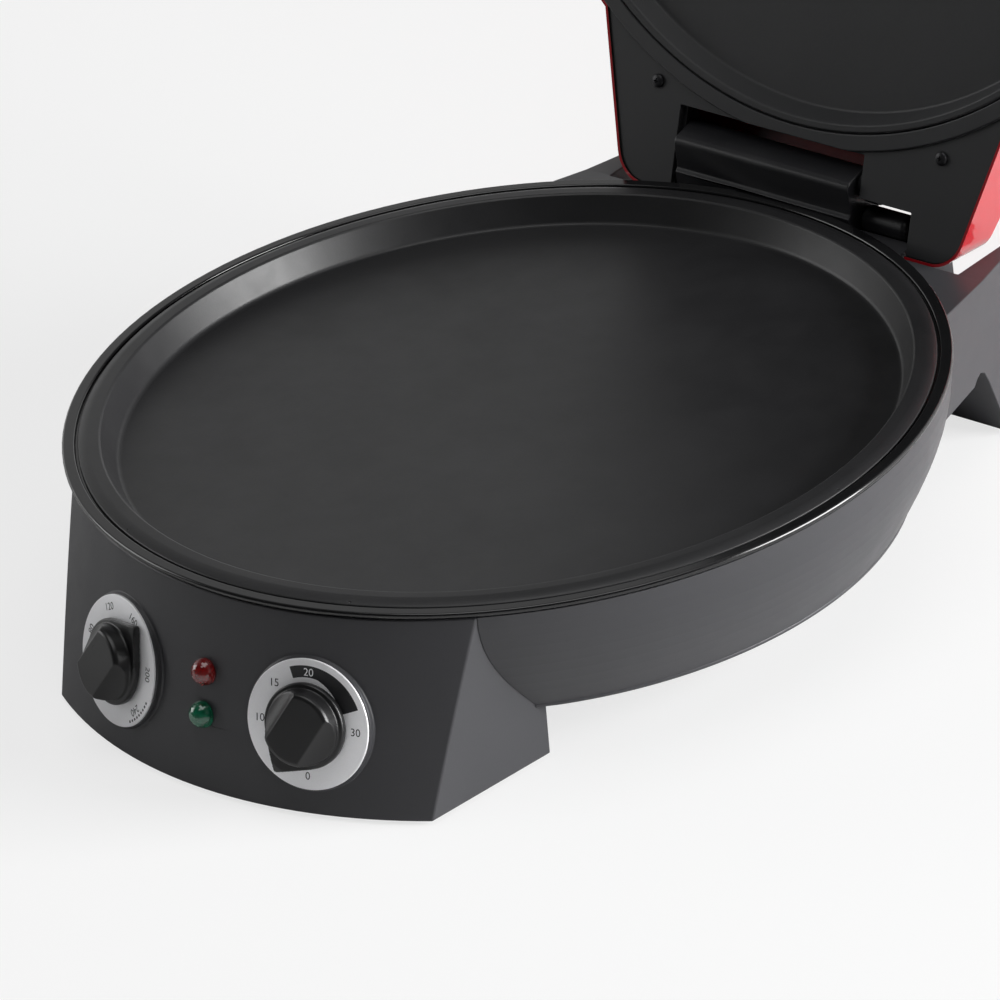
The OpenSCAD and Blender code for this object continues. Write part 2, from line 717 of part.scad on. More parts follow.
// A knob with a pointed skirt and a grip bar between two scoops
module knob(turn) {
    top = knob_base_z + knob_h;
    skirt_z = knob_base_z + knob_skirt_h;
    body_r = knob_r - 1.8;
    bar_w = 11;
    scoop_r = 14;
    tangent = asin(knob_r / knob_tip);
    rotate([0, 0, -turn]) difference() {
        union() {
            rotate_extrude() polygon([
                [0, knob_base_z], [knob_r - 0.4, knob_base_z], [knob_r, knob_base_z + 0.4],
                [knob_r, skirt_z - 0.8],
                [knob_r - 0.3, skirt_z - 0.2], [knob_r - 0.9, skirt_z], [0, skirt_z]]);
            intersection() {
                translate([0, 0, knob_base_z]) linear_extrude(knob_skirt_h) polygon([
                    [knob_r * cos(tangent), knob_r * sin(tangent)], [0.7, knob_tip - 0.7],
                    [0, knob_tip - 0.4],
                    [-0.7, knob_tip - 0.7], [-knob_r * cos(tangent), knob_r * sin(tangent)], [0, 0]]);
                rotate_extrude() polygon([
                    [0, knob_base_z], [knob_tip + 1, knob_base_z], [knob_tip + 1, skirt_z - 1],
                    [knob_tip - 3, skirt_z], [0, skirt_z]]);
            }
            difference() {
                rotate_extrude() polygon([
                    [0, knob_base_z], [body_r, knob_base_z], [body_r, skirt_z], [body_r - 0.5, top - 1.6],
                    [body_r - 1, top - 0.5], [body_r - 2, top], [0, top]]);
                for (side = [-1, 1]) translate([side * (bar_w / 2 + scoop_r), 0, skirt_z + scoop_r])
                    rotate([90, 0, 0]) cylinder(r = scoop_r, h = 60, center = true);
            }
        }
        translate([0, 0, knob_base_z - over]) cylinder(r = dial_hole_r, h = over + 2.7);
        translate([0, 0, knob_base_z]) cylinder(r = shaft_r + running / 2, h = knob_h - 2.5, $fn = 48);
    }
}

module control_shaft() {
    translate([0, 0, -12]) cylinder(r = shaft_r, h = 12 + knob_base_z + knob_h - 3, $fn = 48);
}

// The switch body behind the panel, with the bush that passes through it
module switch_body(size) {
    back_z = -wall - 1.5 - size[2];
    difference() {
        union() {
            translate([-size[0] / 2, -size[1] / 2, back_z]) cube(size);
            translate([0, 0, -wall - 1.5]) cylinder(r = bush_r, h = wall + 1.5 + dial_boss_h + 3.2, $fn = 48);
            translate([0, 0, -wall - 1.5]) cylinder(r = bush_r + 3, h = 1.2, $fn = 48);
            for (x = [-0.3, 0.3]) translate([x * size[0] - 3, -0.4, back_z - 7]) cube([6, 0.8, 7.5]);
        }
        translate([0, 0, -13]) cylinder(r = shaft_r + running, h = 40, $fn = 48);
    }
}

module temperature_dial() {
    color("#c8c9cb") on_dial(-dial_angle) dial();
}

module timer_dial() {
    color("#c8c9cb") on_dial(dial_angle) dial();
}

module temperature_knob() {
    color("#101011") on_dial(-dial_angle) knob(temperature_rest);
}

module timer_knob() {
    color("#101011") on_dial(dial_angle) knob(timer_rest);
}

module temperature_shaft() {
    color("silver") on_dial(-dial_angle) control_shaft();
}

module timer_shaft() {
    color("silver") on_dial(dial_angle) control_shaft();
}

module thermostat() {
    color("#d8d3c4") on_dial(-dial_angle) switch_body(thermostat_size);
}

module timer_clock() {
    color("#bfbfbf") on_dial(dial_angle) switch_body(clock_size);
}

module control_nuts() {
    color("silver") for (side = [-1, 1]) on_dial(side * dial_angle) translate([0, 0, dial_boss_h])
        difference() {
        cylinder(r = 8, h = 2.4, $fn = 6);
        translate([0, 0, -over]) cylinder(r = bush_r + 0.05, h = 6, $fn = 48);
    }
}

module lens() {
    rotate_extrude() polygon(concat(
        [[0, -wall - 3], [lens_stem_r, -wall - 3], [lens_stem_r, 0.2], [lens_r, 0.2]],
        arc(0, 0.5, lens_r, 0, 90, 9)));
}

module red_lens() {
    color("#7c1414") on_lens(1) lens();
}

module green_lens() {
    color("#14805a") on_lens(-1) lens();
}

module pilot_lamps() {
    color("#e4e0d4") for (step = [-1, 1]) on_lens(step) translate([0, 0, -wall - 3 - 14]) {
        cylinder(r = lens_stem_r + 0.8, h = 14, $fn = 48);
        for (side = [-1, 1]) translate([side * 2, 0, -8]) cylinder(r = 0.5, h = 9, $fn = 16);
    }
}

module terminal_block() {
    color("#d9d6cc") on_axis() translate([terminal_at[0], terminal_at[1], rear_floor_z]) difference() {
        translate([-terminal_size[0] / 2, 0, 0]) cube(terminal_size);
        for (way = [-1:1]) translate([way * terminal_size[0] / 3.1, 0, 0]) {
            translate([0, -over, 5]) rotate([-90, 0, 0])
                cylinder(r = 2, h = terminal_size[1] + 2 * over, $fn = 32);
            translate([0, terminal_size[1] / 2, 6]) cylinder(r = 2.2, h = terminal_size[2], $fn = 32);
        }
    }
}

module thermal_fuse() {
    fuse_r = 2.2;
    color("#cfcfcf") lower_side() translate([46, 30, fuse_r + 0.05]) rotate([0, 90, 0]) {
        cylinder(r = fuse_r, h = 22, $fn = 32);
        translate([0, 0, -9]) cylinder(r = 0.6, h = 40, $fn = 16);
    }
}

module cord_gland() {
    gland_wall = 2;
    color("#161616") on_axis() translate([gland_at[0], tail_y, gland_at[1]]) rotate([90, 0, 0])
        rotate_extrude() polygon([
        [gland_r - gland_wall, -3], [gland_r + 2, -3], [gland_r + 2.6, -2.2], [gland_r + 2.6, 0],
        [gland_r, 0],
        [gland_r, wall + 0.1], [gland_r + 1.8, wall + 0.1], [gland_r + 0.6, wall + 4],
        [gland_r - gland_wall, wall + 4]]);
}

// The hinge

// A wall that rises past the trim ring to a round nose, and a top that runs from there over the barrel
module hinge_block() {
    front_y = hinge_y - 12.7;
    wall_y = front_y + 1.5;
    nose_r = 3.4;
    nose = [wall_y + nose_r, hinge_z + 0.9];
    rise = atan((hinge_z - nose[1]) / (hinge_y - nose[0]))
        + asin((barrel_r - nose_r) / norm([hinge_y - nose[0], hinge_z - nose[1]]));
    color("#141415") on_axis() difference() {
        union() {
            across(barrel_x) polygon(concat(
                [[hinge_y + barrel_r, deck_z], [front_y, deck_z], [front_y, trim_z + 0.4],
                [wall_y, trim_z + 1.6]],
                arc(nose[0], nose[1], nose_r, 180, 90 + rise, 6),
                [[hinge_y + barrel_r * cos(90 + rise), hinge_z + barrel_r * sin(90 + rise)],
                [hinge_y, hinge_z],
                 [hinge_y + barrel_r, hinge_z]]));
            translate([0, hinge_y, hinge_z]) bar(barrel_x, barrel_r);
        }
        translate([0, hinge_y, hinge_z]) bar([barrel_x[0] - over, barrel_x[1] + over], pin_r + 0.03);
        translate([0, 0, deck_z - over]) cylinder(r = ring_r + 0.3, h = trim_z + 0.3 - deck_z + over);
        for (x = block_screw_x) translate([x, hinge_y, deck_z - over])
            cylinder(r = thread_r, h = 11, $fn = 24);
    }
}

module hinge_block_screws() {
    color("silver") on_axis() for (x = block_screw_x) translate([x, hinge_y, deck_z - wall]) screw(wall + 9);
}

module hinge_pin() {
    head_x = [left_lug_x[0] - side_gap - pin_head_t, left_lug_x[0] - side_gap];
    end_x = right_lug_x[1] + 4;
    color("silver") on_axis() translate([0, hinge_y, hinge_z]) {
        bar(head_x, pin_r + 1);
        bar([head_x[1], right_lug_x[1] + side_gap], pin_r);
        bar([right_lug_x[1] + side_gap, right_lug_x[1] + side_gap + 1.2], clip_groove_r);
        bar([right_lug_x[1] + side_gap + 1.2, end_x], pin_r);
    }
}

module hinge_clip() {
    clip_x = right_lug_x[1] + side_gap + 0.1;
    color("silver") on_axis() translate([0, hinge_y, hinge_z]) difference() {
        bar([clip_x, clip_x + 1], pin_r + 1.3);
        bar([clip_x - over, clip_x + 2], clip_groove_r + 0.05);
        translate([clip_x - over, -1.2, 0]) cube([3, 2.4, 10]);
    }
}

module hinge_spacer() {
    spacer_x = [barrel_x[1] + side_gap / 2, barrel_x[1] + side_gap / 2 + spacer_w];
    color("#0e0e0f") on_axis() translate([0, hinge_y, hinge_z]) difference() {
        bar(spacer_x, spacer_r);
        bar([spacer_x[0] - over, spacer_x[1] + over], pin_r + 0.05);
    }
}

module wire_conduit() {
    color("#101011") on_axis() translate([conduit_x[0], conduit_at[0], conduit_at[1]]) rotate([0, 90, 0])
        rotate_extrude() polygon([
        [0, 0], [conduit_r - 1.2, 0], [conduit_r - 0.3, 0.5], [conduit_r, 1.4],
        [conduit_r, conduit_x[1] - conduit_x[0] - 4],
        [conduit_r - 0.6, conduit_x[1] - conduit_x[0] - 2],
        [conduit_r - 2.2, conduit_x[1] - conduit_x[0] - 0.6],
        [conduit_r - 3.4, conduit_x[1] - conduit_x[0]], [0, conduit_x[1] - conduit_x[0]]]);
}

// The lid, drawn closed and turned open by on_lid()

module lid_tail_plan(grow) {
    tail_plan(tail_half_w, lid_tail_y, tail_draw, tail_corner, 90, grow);
}

module dome(inset, low) {
    wall_r = lid_r + lip - inset / cos(draft);
    round_r = crown_round - inset;
    round_z = crown_z - crown_sag - crown_round;
    round_x = wall_r - tan(draft) * (round_z - shell_z) - round_r / cos(draft);
    rotate_extrude() polygon(concat(
        [[0, low], [wall_r - tan(draft) * (low - shell_z), low]],
        arc(round_x, round_z, round_r, draft, 84, 6),
        [[round_x * 0.55, crown_z - crown_sag * 0.3 - inset], [0, crown_z - inset]]));
}

module tail_hump(inset, low) {
    roof_slope = atan((lid_h - crown_sag - tail_h - 4) / (lid_tail_y - 125));
    foot_grow = lip - inset / cos(draft);
    top_grow = foot_grow - tan(draft) * lid_h;
    intersection() {
        hull() {
            translate([0, 0, low]) linear_extrude(0.01)
                lid_tail_plan(foot_grow - tan(draft) * (low - shell_z));
            translate([0, 0, crown_z]) linear_extrude(0.01) lid_tail_plan(top_grow);
        }
        translate([0, lid_tail_y, shell_z + tail_h - inset / cos(roof_slope)]) rotate([-roof_slope, 0, 0])
            translate([-200, -300, -200]) cube([400, 350, 200]);
    }
}

module hinge_notch(low, high) {
    translate([notch_x[0], notch_y, low]) cube([notch_x[1] - notch_x[0], 60, high - low]);
    translate([notch_x[1] - over, conduit_notch[1], low])
        cube([conduit_notch[0] - notch_x[1] + over, 60, high - low]);
}

module lid_shell() {
    back_notch_y = hinge_y + 8;
    color("#8a0f17") on_lid() difference() {
        union() {
            dome(0, shell_z);
            tail_hump(0, shell_z);
        }
        difference() {
            union() {
                dome(wall, shell_z - over);
                tail_hump(wall, shell_z - over);
            }
            for (side = [-1, 1]) translate([side * lid_post[0], lid_post[1], panel_top_z])
                cylinder(r = post_r, h = lid_h, $fn = 32);
        }
        translate([0, 0, shell_z - over]) cylinder(r = lid_r + fit, h = panel_top_z - shell_z + over);
        translate([0, 0, shell_z - over]) linear_extrude(panel_top_z - shell_z + over) lid_tail_plan(fit);
        translate([notch_x[0], back_notch_y, shell_z - over])
            cube([conduit_notch[0] - notch_x[0], 60, lid_h]);
        for (side = [-1, 1]) translate([side * lid_post[0], lid_post[1], panel_z])
            cylinder(r = thread_r, h = 14, $fn = 24);
        handle_bores(screw_hole_r, lid_r - 20, lid_r + 10);
    }
}

module handle_bores(r, from, to) {
    for (side = [-1, 1]) rotate([0, 0, side * arm_angle]) translate([0, -from, handle_z]) rotate([90, 0, 0])
        cylinder(r = r, h = to - from, $fn = 32);
}

module lid_frame() {
    color("#191a1b") on_lid() difference() {
        union() {
            rotate_extrude() polygon([
                [upper_rim_r + 0.25, lid_z + 0.3], [upper_rim_r + 0.6, lid_z], [lid_r - 0.5, lid_z],
                [lid_r, lid_z + 0.5],
                [lid_r, panel_top_z], [lid_r - 2.1, panel_top_z], [lid_r - 2.1, seat_flange[1]],
                [upper_rim_r - 1.6, seat_flange[1]], [upper_rim_r - 1.6, seat_flange[0]],
                [upper_rim_r + 0.25, seat_flange[0]]]);
            difference() {
                translate([0, 0, panel_z]) linear_extrude(panel_top_z - panel_z) lid_tail_plan(0);
                translate([0, 0, panel_z - over]) cylinder(r = lid_r - 3, h = 10);
            }
        }
        hinge_notch(lid_z - over, seat_flange[1] + over);
        for (side = [-1, 1]) translate([side * lid_post[0], lid_post[1], panel_z - over])
            cylinder(r = screw_hole_r, h = 6, $fn = 24);
        lug_holes(thread_r);
        tray_rim_holes(thread_r);
    }
}

module tray_rim_holes(r) {
    for (angle = tray_rim_angles) rotate([0, 0, angle]) translate([tray_screw_r, 0, seat_flange[0] - 0.4])
        cylinder(r = r, h = 6, $fn = 24);
}

module upper_plate() {
    rim_top_z = seat_flange[0];
    floor_y = lid_z + upper_depth;
    floor_r = upper_crest_r - upper_slope;
    color("#1d1e1f") {
        on_lid() rotate_extrude() polygon([
            [0, floor_y], [floor_r - 1.4, floor_y], [floor_r - 0.3, floor_y - 0.5],
            [upper_crest_r - 0.4, lid_z + 0.7],
            [upper_crest_r + 0.2, lid_z + 0.1], [upper_crest_r + 0.7, lid_z], [upper_rim_r - 0.7, lid_z],
            [upper_rim_r, lid_z + 0.6], [upper_rim_r, rim_top_z], [upper_crest_r + 1, rim_top_z],
            [floor_r + 0.7, upper_back_z], [0, upper_back_z]]);
        upper_side() plate_bosses(tray_h - tray_t, tray_post_r, tray_post_angles);
    }
}

module upper_element() {
    color("#6b6a66") upper_side() heater_tube();
}

module upper_clips() {
    color("#9a9a9a") upper_side() heater_clips();
}

module upper_plate_screws() {
    color("silver") {
        upper_side() {
            heater_screws();
            for (angle = tray_post_angles) rotate([0, 0, angle])
                translate([tray_post_r, 0, tray_h]) mirror([0, 0, 1]) screw(8);
        }
        on_lid() for (angle = tray_rim_angles) rotate([0, 0, angle])
            translate([tray_screw_r, 0, seat_flange[1] + tray_t]) mirror([0, 0, 1]) screw(2.8);
    }
}

module upper_tray() {
    top_z = upper_back_z + tray_h;
    color("#b9b9b6") {
        difference() {
            on_lid() difference() {
                rotate_extrude() polygon([
                    [lid_r - 2.4, seat_flange[1]], [lid_r - 2.4, seat_flange[1] + tray_t],
                    [lid_r - 9, seat_flange[1] + tray_t], [lid_r - 15, top_z], [0, top_z],
                    [0, top_z - tray_t],
                    [lid_r - 15.8, top_z - tray_t], [lid_r - 9.8, seat_flange[1]]]);
                tray_rim_holes(screw_hole_r);
            }
            upper_side() {
                pin_holes();
                for (angle = tray_post_angles) rotate([0, 0, angle])
                    translate([tray_post_r, 0, 0]) cylinder(r = screw_hole_r, h = 30, $fn = 24);
            }
        }
    }
}

// The lugs stand on the frame behind the panel and turn on the hinge pin

module lug_holes(r) {
    for (x = lug_screw_x) translate([x, lug_screw_y, panel_z + 0.4]) cylinder(r = r, h = 12, $fn = 24);
}

module lug(x, foot_x) {
    difference() {
        union() {
            intersection() {
                translate([0, hinge_y, hinge_z]) bar(x, lug_r);
                translate([-200, 0, panel_top_z]) cube([400, 300, 100]);
            }
            across(x) polygon([
                [lug_foot_y, panel_top_z], [hinge_y, panel_top_z], [hinge_y, hinge_z + lug_r - 0.4],
                [hinge_y - 4, hinge_z + lug_r - 1.2], [lug_foot_y, panel_top_z + lug_foot_t]]);
            translate([foot_x, lug_foot_y, panel_top_z]) cube([lug_foot[0], lug_foot[1], lug_foot_t]);
        }
        translate([0, hinge_y, hinge_z]) bar([x[0] - over, x[1] + over], pin_r + running);
        lug_holes(screw_hole_r);
    }
}

module left_lug() {
    color("#161617") on_lid() lug(left_lug_x, left_foot_x);
}

module right_lug() {
    color("#161617") on_lid() lug(right_lug_x, right_foot_x);
}

module lug_screws() {
    color("silver") on_lid() for (x = lug_screw_x)
        translate([x, lug_screw_y, panel_top_z + lug_foot_t]) mirror([0, 0, 1]) screw(lug_foot_t + 2);
}

module lid_screws() {
    color("#2a2a2a") on_lid() for (side = [-1, 1])
        translate([side * lid_post[0], lid_post[1], panel_z]) screw(12);
}

module handle() {
    outer_r = lid_r + handle_reach;
    bevel = 4;
    color("#141415") on_lid() difference() {
        union() {
            rotate([0, 0, 270 - handle_angle]) rotate_extrude(angle = 2 * handle_angle) polygon([
                [outer_r - grip_t, handle_z - grip_h / 2 + bevel],
                [outer_r - grip_t + bevel, handle_z - grip_h / 2],
                [outer_r - bevel, handle_z - grip_h / 2], [outer_r, handle_z - grip_h / 2 + bevel],
                [outer_r, handle_z + grip_h / 2 - bevel], [outer_r - bevel, handle_z + grip_h / 2],
                [outer_r - grip_t + bevel, handle_z + grip_h / 2],
                [outer_r - grip_t, handle_z + grip_h / 2 - bevel]]);
            for (side = [-1, 1]) rotate([0, 0, side * arm_angle])
                translate([-handle_arm_w / 2, -outer_r + 3, handle_z - grip_h / 2 + 1])
                    cube([handle_arm_w, handle_reach + 20, grip_h - 2]);
        }
        dome(-fit, shell_z - 20);
        handle_bores(thread_r, lid_r - 20, lid_r + 14);
    }
}

module handle_screws() {
    seat_r = lid_r + lip - tan(draft) * (handle_z + screw_head_r - shell_z) - wall / cos(draft) - 0.1;
    color("silver") on_lid() for (side = [-1, 1]) rotate([0, 0, side * arm_angle])
        translate([0, -seat_r, handle_z]) rotate([90, 0, 0]) screw(lid_r + 12 - seat_r);
}

body_band();
trim_ring();
control_box();
rear_housing();
bottom_cover();
control_box_cover();
rear_cover();
front_feet();
rear_feet();
rim_screws();
cover_screws();
housing_screws();
lower_plate();
lower_element();
lower_clips();
lower_plate_screws();
lower_reflector();
temperature_dial();
timer_dial();
temperature_knob();
timer_knob();
temperature_shaft();
timer_shaft();
thermostat();
timer_clock();
control_nuts();
red_lens();
green_lens();
pilot_lamps();
terminal_block();
thermal_fuse();
cord_gland();
hinge_block();
hinge_block_screws();
hinge_pin();
hinge_clip();
hinge_spacer();
wire_conduit();
lid_shell();
lid_frame();
upper_plate();
upper_element();
upper_clips();
upper_plate_screws();
upper_tray();
left_lug();
right_lug();
lug_screws();
lid_screws();
handle();
handle_screws();
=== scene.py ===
import json
import math

import bmesh
import bpy
import numpy as np
from mathutils import Matrix, Vector
from mathutils.bvhtree import BVHTree

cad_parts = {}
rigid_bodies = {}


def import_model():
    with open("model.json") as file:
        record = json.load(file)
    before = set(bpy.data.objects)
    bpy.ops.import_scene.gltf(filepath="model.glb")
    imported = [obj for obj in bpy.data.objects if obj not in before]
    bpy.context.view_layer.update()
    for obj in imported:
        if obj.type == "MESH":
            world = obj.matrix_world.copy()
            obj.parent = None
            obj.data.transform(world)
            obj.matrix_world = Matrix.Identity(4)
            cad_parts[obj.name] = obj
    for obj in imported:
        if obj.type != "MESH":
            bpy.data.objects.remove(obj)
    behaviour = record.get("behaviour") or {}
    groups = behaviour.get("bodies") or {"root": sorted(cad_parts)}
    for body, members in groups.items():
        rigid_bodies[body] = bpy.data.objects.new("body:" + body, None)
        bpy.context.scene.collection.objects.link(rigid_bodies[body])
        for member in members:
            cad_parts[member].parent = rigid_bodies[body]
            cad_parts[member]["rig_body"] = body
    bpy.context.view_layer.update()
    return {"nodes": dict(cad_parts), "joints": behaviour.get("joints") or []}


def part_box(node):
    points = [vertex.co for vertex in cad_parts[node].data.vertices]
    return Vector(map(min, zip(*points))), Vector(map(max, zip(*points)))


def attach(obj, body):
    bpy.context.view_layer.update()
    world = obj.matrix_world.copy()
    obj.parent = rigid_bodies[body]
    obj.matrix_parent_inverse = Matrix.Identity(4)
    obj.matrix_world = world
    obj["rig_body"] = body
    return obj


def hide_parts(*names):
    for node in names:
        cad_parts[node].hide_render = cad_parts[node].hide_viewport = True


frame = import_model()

mm = 0.001


# Band: the round wall of the base, moulded in charcoal plastic with a satin, finely
# grained face. A bead runs round its lower edge. It is the shell that all else screws to.

def node_group(name, inputs, outputs):
    """An empty shader node group with its sockets, and the two nodes that hold them"""
    group = bpy.data.node_groups.new(name, "ShaderNodeTree")
    for socket, kind, value in inputs:
        made = group.interface.new_socket(socket, in_out="INPUT", socket_type="NodeSocket" + kind)
        made.default_value = value
    for socket, kind in outputs:
        group.interface.new_socket(socket, in_out="OUTPUT", socket_type="NodeSocket" + kind)
    return group, group.nodes.new("NodeGroupInput"), group.nodes.new("NodeGroupOutput")


def noise(tree, scale, detail=3.0, roughness=0.55):
    """A noise texture that stays fixed to the piece, its scale a number or a socket"""
    place = tree.nodes.new("ShaderNodeTexCoord")
    texture = tree.nodes.new("ShaderNodeTexNoise")
    texture.inputs["Detail"].default_value = detail
    texture.inputs["Roughness"].default_value = roughness
    tree.links.new(place.outputs["Object"], texture.inputs["Vector"])
    if isinstance(scale, bpy.types.NodeSocket):
        tree.links.new(scale, texture.inputs["Scale"])
    else:
        texture.inputs["Scale"].default_value = scale
    return texture.outputs["Fac"]


def spread(tree, value, low, high):
    """A noise value stretched to run from low to high"""
    stretch = tree.nodes.new("ShaderNodeMapRange")
    stretch.inputs["From Min"].default_value = 0.3
    stretch.inputs["From Max"].default_value = 0.7
    tree.links.new(value, stretch.inputs["Value"])
    for socket, end in (("To Min", low), ("To Max", high)):
        if isinstance(end, bpy.types.NodeSocket):
            tree.links.new(end, stretch.inputs[socket])
        else:
            stretch.inputs[socket].default_value = end
    return stretch.outputs["Result"]


def arithmetic(tree, operation, a, b):
    """The result of one sum, each term a number or a socket"""
    node = tree.nodes.new("ShaderNodeMath")
    node.operation = operation
    for index, term in enumerate((a, b)):
        if isinstance(term, bpy.types.NodeSocket):
            tree.links.new(term, node.inputs[index])
        else:
            node.inputs[index].default_value = term
    return node.outputs["Value"]


# Moulded and cast faces: fine grain, slow drifts of tone, and faint marks of handling
surface, given, result = node_group(
    "moulded_surface",
    [("Tone", "Color", (0.1, 0.1, 0.1, 1)), ("Drift", "Float", 0.1), ("Roughness", "Float", 0.4),
     ("Handling", "Float", 0.06), ("Grain", "Float", 2000.0)],
    [("Color", "Color"), ("Roughness", "Float"), ("Height", "Float")])
grain = noise(surface, given.outputs["Grain"], 2.0)
blotch = noise(surface, 11.0, 4.0)
smudge = noise(surface, 38.0, 5.0, 0.65)
shade = arithmetic(surface, "ADD", 1.0, arithmetic(
    surface, "MULTIPLY", given.outputs["Drift"], spread(surface, blotch, -1.0, 1.0)))
speckle = arithmetic(surface, "ADD", 1.0, arithmetic(
    surface, "MULTIPLY", given.outputs["Drift"], spread(surface, grain, -0.6, 0.6)))
toned = surface.nodes.new("ShaderNodeVectorMath")
toned.operation = "SCALE"
surface.links.new(given.outputs["Tone"], toned.inputs[0])
surface.links.new(arithmetic(surface, "MULTIPLY", shade, speckle), toned.inputs["Scale"])
surface.links.new(toned.outputs["Vector"], result.inputs["Color"])
rubbed = arithmetic(surface, "MULTIPLY", given.outputs["Handling"], spread(surface, smudge, -1.0, 1.0))
surface.links.new(arithmetic(surface, "ADD", given.outputs["Roughness"], rubbed), result.inputs["Roughness"])
surface.links.new(grain, result.inputs["Height"])


def finish(name, tone, roughness, drift=0.1, handling=0.05, grain_size=0.5, relief=0.01, **sockets):
    """A material: its tone and roughness vary over the surface, all else is set on the shader"""
    material = bpy.data.materials.new(name)
    material.use_nodes = True
    tree = material.node_tree
    shader = tree.nodes["Principled BSDF"]
    for socket, value in sockets.items():
        shader.inputs[socket.replace("_", " ")].default_value = value
    skin = tree.nodes.new("ShaderNodeGroup")
    skin.node_tree = surface
    skin.inputs["Tone"].default_value = (*tone, 1)
    skin.inputs["Drift"].default_value = drift
    skin.inputs["Roughness"].default_value = roughness
    skin.inputs["Handling"].default_value = handling
    skin.inputs["Grain"].default_value = 1 / (grain_size * mm)
    bump = tree.nodes.new("ShaderNodeBump")
    bump.inputs["Distance"].default_value = relief * mm
    tree.links.new(skin.outputs["Height"], bump.inputs["Height"])
    tree.links.new(skin.outputs["Color"], shader.inputs["Base Color"])
    tree.links.new(skin.outputs["Roughness"], shader.inputs["Roughness"])
    tree.links.new(bump.outputs["Normal"], shader.inputs["Normal"])
    return material


def keep(node, material):
    """A piece whose shape stays as it was constructed, with its own finish"""
    piece = frame["nodes"][node]
    piece.data.materials.clear()
    piece.data.materials.append(material)


charcoal = finish(
    "charcoal_satin", (0.044, 0.044, 0.048), 0.38, drift=0.06, handling=0.05, grain_size=0.45, relief=0.012,
    Specular_IOR_Level=0.4)
keep("body_band", charcoal)


# Trim ring: polished black phenolic, turned smooth. It caps the band and holds the plate
# down, with a thin groove between it and the plate's rim.

gloss_black = finish(
    "gloss_black", (0.005, 0.005, 0.0055), 0.16, drift=0.2, handling=0.05, grain_size=2.5, relief=0.004,
    Specular_IOR_Level=0.5, Coat_Weight=0.3, Coat_Roughness=0.08)
weld = 0.002 * mm


def dress(piece, material, node):
    """The piece stands for this node: it takes the node's body and a finish"""
    piece.data.materials.clear()
    piece.data.materials.append(material)
    bpy.context.scene.collection.objects.link(piece)
    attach(piece, frame["nodes"][node]["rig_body"])
    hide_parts(node)
    return piece


def as_piece(name, shape):
    """A bmesh made into an object"""
    mesh = bpy.data.meshes.new(name)
    shape.to_mesh(mesh)
    shape.free()
    return bpy.data.objects.new(name, mesh)


def welded(node):
    """The construction's mesh of a node, its doubled points joined"""
    shape = bmesh.new()
    shape.from_mesh(frame["nodes"][node].data)
    bmesh.ops.remove_doubles(shape, verts=shape.verts, dist=weld)
    return shape


def rounded(node, material, radius, steps=2):
    """A moulded piece with clean faces, its sharp edges rounded or, at radius nought, kept"""
    shape = welded(node)
    flat, sharp = math.radians(0.4), math.radians(28)
    bmesh.ops.dissolve_limit(
        shape, angle_limit=flat, verts=shape.verts, edges=shape.edges, use_dissolve_boundaries=False)
    for face in shape.faces:
        face.smooth = True
    piece = as_piece(node + "_moulding", shape)
    if radius > 0:
        bevel = piece.modifiers.new("edges", "BEVEL")
        bevel.width = radius * mm
        bevel.segments = steps
        bevel.limit_method = "ANGLE"
        bevel.angle_limit = sharp
        bevel.use_clamp_overlap = False
        bevel.miter_outer = "MITER_ARC"
    else:
        piece.data.set_sharp_from_angle(angle=sharp)
    flow = piece.modifiers.new("flow", "WEIGHTED_NORMAL")
    flow.mode = "FACE_AREA"
    flow.keep_sharp = radius == 0
    return dress(piece, material, node)


rounded("trim_ring", gloss_black, 0.25)


# Control box: one charcoal moulding with a leaning, curved front and splayed sides. It
# slips under the band and screws up into the rim.

rounded("control_box", charcoal, 0.7, steps=3)


# Rear housing: the second charcoal moulding, with its two wings, legs and the hollow that
# takes the lid's tail. Four screws from inside the band hold it.

rounded("rear_housing", charcoal, 0.6, steps=3)


# Covers and feet: matt black sheet covers, slotted for air, close the base from below, and
# four rubber feet are pushed into their sockets.

cover_black = finish(
    "cover_black", (0.018, 0.018, 0.02), 0.6, drift=0.15, handling=0.08, grain_size=0.8, relief=0.02)
for cover in ("bottom_cover", "control_box_cover", "rear_cover"):
    rounded(cover, cover_black, 0.15, steps=1)

foot_rubber = finish(
    "foot_rubber", (0.016, 0.016, 0.017), 0.8, drift=0.25, handling=0.1, grain_size=0.6, relief=0.04)
for feet in ("front_feet", "rear_feet"):
    rounded(feet, foot_rubber, 0.4)


# Lower plate: a shallow cast aluminium dish under a black non-stick coat, its rim standing
# just proud of the trim ring.

nonstick = finish(
    "nonstick_coat", (0.011, 0.011, 0.012), 0.42, drift=0.22, handling=0.05, grain_size=0.9, relief=0.02,
    Specular_IOR_Level=0.5)
rounded("lower_plate", nonstick, 0.25)


# Heaters: steel sheathed tubes bent to a ring, pressed on each plate by sheet clips over a
# bright reflector. A thermal fuse lies on the lower plate's back.

heater_sheath = finish(
    "heater_sheath", (0.15, 0.14, 0.13), 0.45, drift=0.3, handling=0.1, grain_size=1.2, relief=0.02,
    Metallic=1.0)
bright_sheet = finish(
    "reflector_sheet", (0.62, 0.62, 0.61), 0.3, drift=0.06, handling=0.08, grain_size=1.5, relief=0.01,
    Metallic=1.0)
zinc = finish(
    "zinc_plated", (0.56, 0.57, 0.59), 0.34, drift=0.1, handling=0.08, grain_size=0.4, relief=0.008,
    Metallic=1.0)
for element in ("lower_element", "upper_element"):
    rounded(element, heater_sheath, 0.2)
for sheet in ("lower_reflector", "upper_tray"):
    rounded(sheet, bright_sheet, 0.2, steps=1)
for clips in ("lower_clips", "upper_clips"):
    rounded(clips, zinc, 0.2, steps=1)

